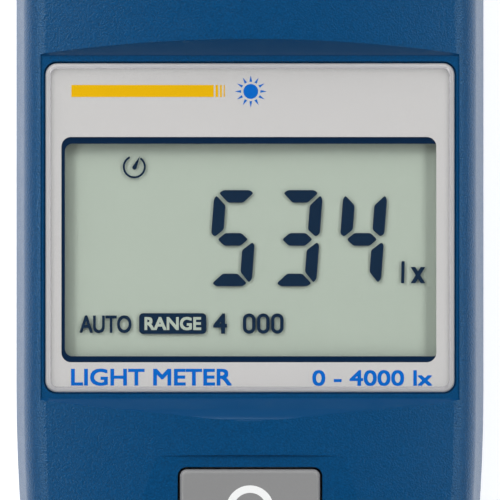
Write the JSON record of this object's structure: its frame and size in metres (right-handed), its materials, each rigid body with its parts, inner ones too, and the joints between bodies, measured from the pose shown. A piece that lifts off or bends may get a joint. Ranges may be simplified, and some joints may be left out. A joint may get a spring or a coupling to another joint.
{
  "type": "light meter",
  "caption": "Slim hand-held digital light meter: blue case with a clear-fronted display, grey keys, a battery door and a swivelling sensor head under an opal dome.",
  "frame": {"origin": "under the middle of the meter, on the surface it lies on (its back)", "axes": "+X to the user's right, +Y from the keypad's end to the sensor head, +Z out of the display"},
  "size_m": [0.064, 0.166, 0.03],
  "materials": {
    "case_blue": "textured",
    "clear_lens": "gloss",
    "silver_print": "satin",
    "key_grey": "satin",
    "silicone": "matte",
    "carbon_rubber": "matte",
    "board_green": "satin",
    "cell_sleeve": "gloss",
    "spring_steel": "bright",
    "screw_steel": "bright",
    "bush_brass": "machined",
    "opal_white": "satin",
    "ring_black": "satin",
    "seal_rubber": "matte",
    "nylon_black": "satin",
    "lcd_film": "satin",
    "lcd_glass": "gloss",
    "lcd_sage": "satin",
    "led_white": "gloss",
    "chip_black": "matte",
    "tinned": "bright",
    "can_aluminium": "bright",
    "trimmer_blue": "gloss",
    "header_white": "satin",
    "filter_green": "gloss",
    "cable_black": "satin"
  },
  "bodies": {
    "case": {"front_shell": "case_blue", "rear_shell": "case_blue", "display_lens": "clear_lens", "face_sheet": "silver_print", "key_mat": "silicone", "carbon_pills": "carbon_rubber", "main_board": "board_green", "battery_cells": "cell_sleeve", "battery_springs": "spring_steel", "battery_contacts": "spring_steel", "case_screws": "screw_steel", "board_screws": "screw_steel", "tripod_bush": "bush_brass", "spring_washer": "spring_steel", "lcd_front_polariser": "lcd_film", "lcd_front_glass": "lcd_glass", "lcd_rear_glass": "lcd_glass", "lcd_reflector": "lcd_sage", "light_guide": "clear_lens", "backlight_leds": "led_white", "contact_strips": "carbon_rubber", "lcd_holder": "nylon_black", "processor_chip": "chip_black", "processor_legs": "tinned", "chip_resistors": "chip_black", "filter_capacitor": "can_aluminium", "crystal_can": "can_aluminium", "trimmer": "trimmer_blue", "sensor_header": "header_white", "sensor_cable_case": "cable_black"},
    "sensor_head": {"head_front_shell": "case_blue", "head_rear_shell": "case_blue", "head_screws": "screw_steel", "diffuser_dome": "opal_white", "diffuser_ring": "ring_black", "dome_gasket": "seal_rubber", "swivel_spindle": "nylon_black", "sensor_board": "board_green", "photodiode_case": "header_white", "photodiode_cell": "chip_black", "filter_holder": "nylon_black", "colour_filter": "filter_green", "sensor_cable_head": "cable_black"},
    "power_key": {"power_key": "key_grey"},
    "hold_key": {"hold_key": "key_grey"},
    "peak_key": {"peak_key": "key_grey"},
    "unit_key": {"unit_key": "key_grey"},
    "backlight_key": {"backlight_key": "key_grey"},
    "battery_door": {"battery_door": "case_blue"}
  },
  "joints": [
    {"name": "head_swivel", "type": "hinge", "parent": "case", "child": "sensor_head", "pos_m": [0, 0.037, 0.014], "axis": [0, 1, 0], "range_deg": [-130, 130]},
    {"name": "power_key_press", "type": "slide", "parent": "case", "child": "power_key", "axis": [0, 0, -1], "range_m": [0, 0.0011], "stiffness_N_per_m": 600, "springref_m": -0.0003, "deforming": ["key_mat"]},
    {"name": "hold_key_press", "type": "slide", "parent": "case", "child": "hold_key", "axis": [0, 0, -1], "range_m": [0, 0.0011], "stiffness_N_per_m": 600, "springref_m": -0.0003, "deforming": ["key_mat"]},
    {"name": "peak_key_press", "type": "slide", "parent": "case", "child": "peak_key", "axis": [0, 0, -1], "range_m": [0, 0.0011], "stiffness_N_per_m": 600, "springref_m": -0.0003, "deforming": ["key_mat"]},
    {"name": "unit_key_press", "type": "slide", "parent": "case", "child": "unit_key", "axis": [0, 0, -1], "range_m": [0, 0.0011], "stiffness_N_per_m": 600, "springref_m": -0.0003, "deforming": ["key_mat"]},
    {"name": "backlight_key_press", "type": "slide", "parent": "case", "child": "backlight_key", "axis": [0, 0, -1], "range_m": [0, 0.0011], "stiffness_N_per_m": 600, "springref_m": -0.0003, "deforming": ["key_mat"]},
    {"name": "battery_door_slide", "type": "slide", "parent": "case", "child": "battery_door", "axis": [0, -1, 0], "range_m": [0, 0.064]}
  ]
}
